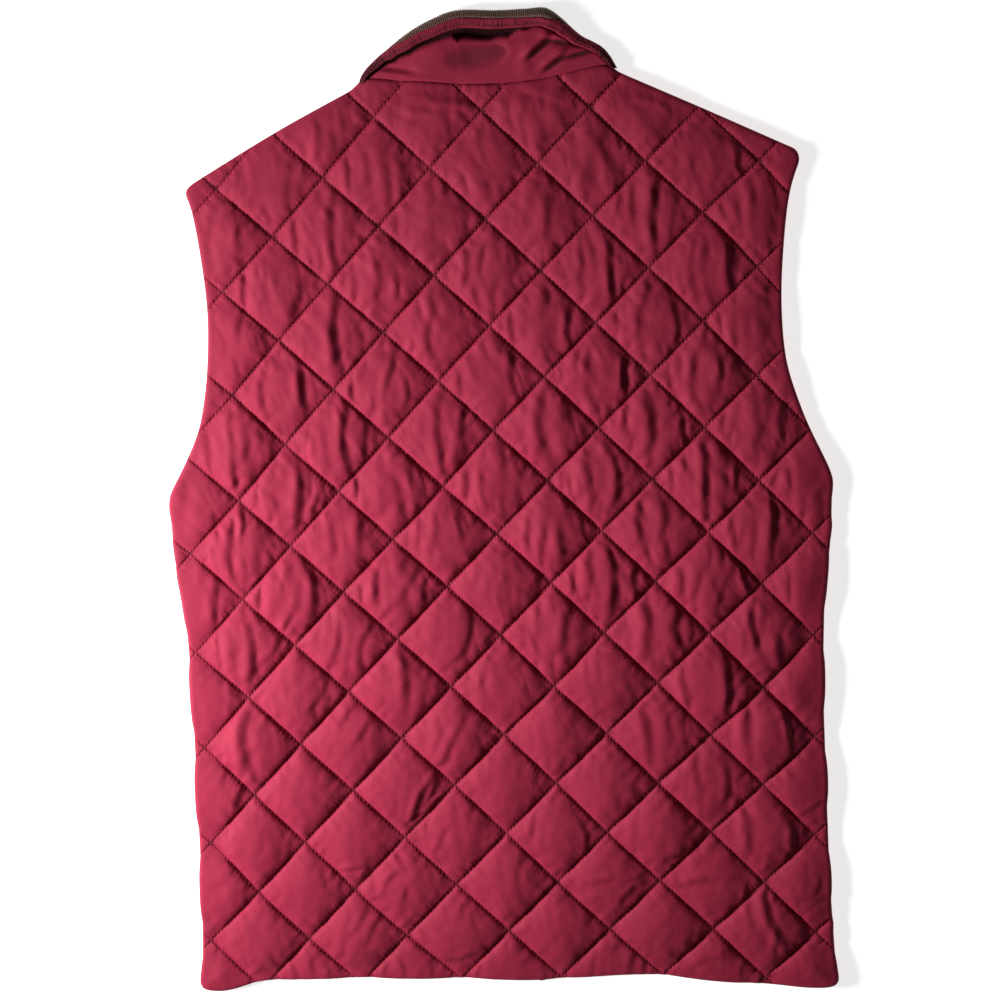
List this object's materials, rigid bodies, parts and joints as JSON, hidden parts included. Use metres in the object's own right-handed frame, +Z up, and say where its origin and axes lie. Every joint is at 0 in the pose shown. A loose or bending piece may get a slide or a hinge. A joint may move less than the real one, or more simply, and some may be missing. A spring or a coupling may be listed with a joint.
{
  "type": "quilted vest",
  "caption": "Sleeveless diamond-quilted vest laid flat on its front, back upwards, with a plain stand-up collar rolled outwards over a corduroy lining.",
  "frame": {"origin": "middle of the outline on the surface that the vest lies on", "axes": "+Z up out of the back of the vest, +Y from its hem to its collar, +X towards the wearer's right side"},
  "size_m": [0.5135, 0.7775, 0.0138],
  "materials": {
    "shell_cloth": "crimson polyester cloth, slightly satiny, quilted over wadding",
    "lining_cloth": "brown corduroy with fine wales",
    "stud_metal": "dull grey press studs"
  },
  "bodies": {
    "root": {"back_panel": "shell_cloth", "front_left": "shell_cloth", "front_right": "shell_cloth", "placket_left": "shell_cloth", "placket_right": "shell_cloth", "stud_1": "stud_metal", "stud_2": "stud_metal", "stud_3": "stud_metal", "stud_4": "stud_metal", "stud_5": "stud_metal", "collar_front_left": "shell_cloth", "collar_front_right": "shell_cloth", "collar_shell": "shell_cloth", "collar_lining": "lining_cloth", "collar_edge": "shell_cloth"}
  },
  "joints": []
}
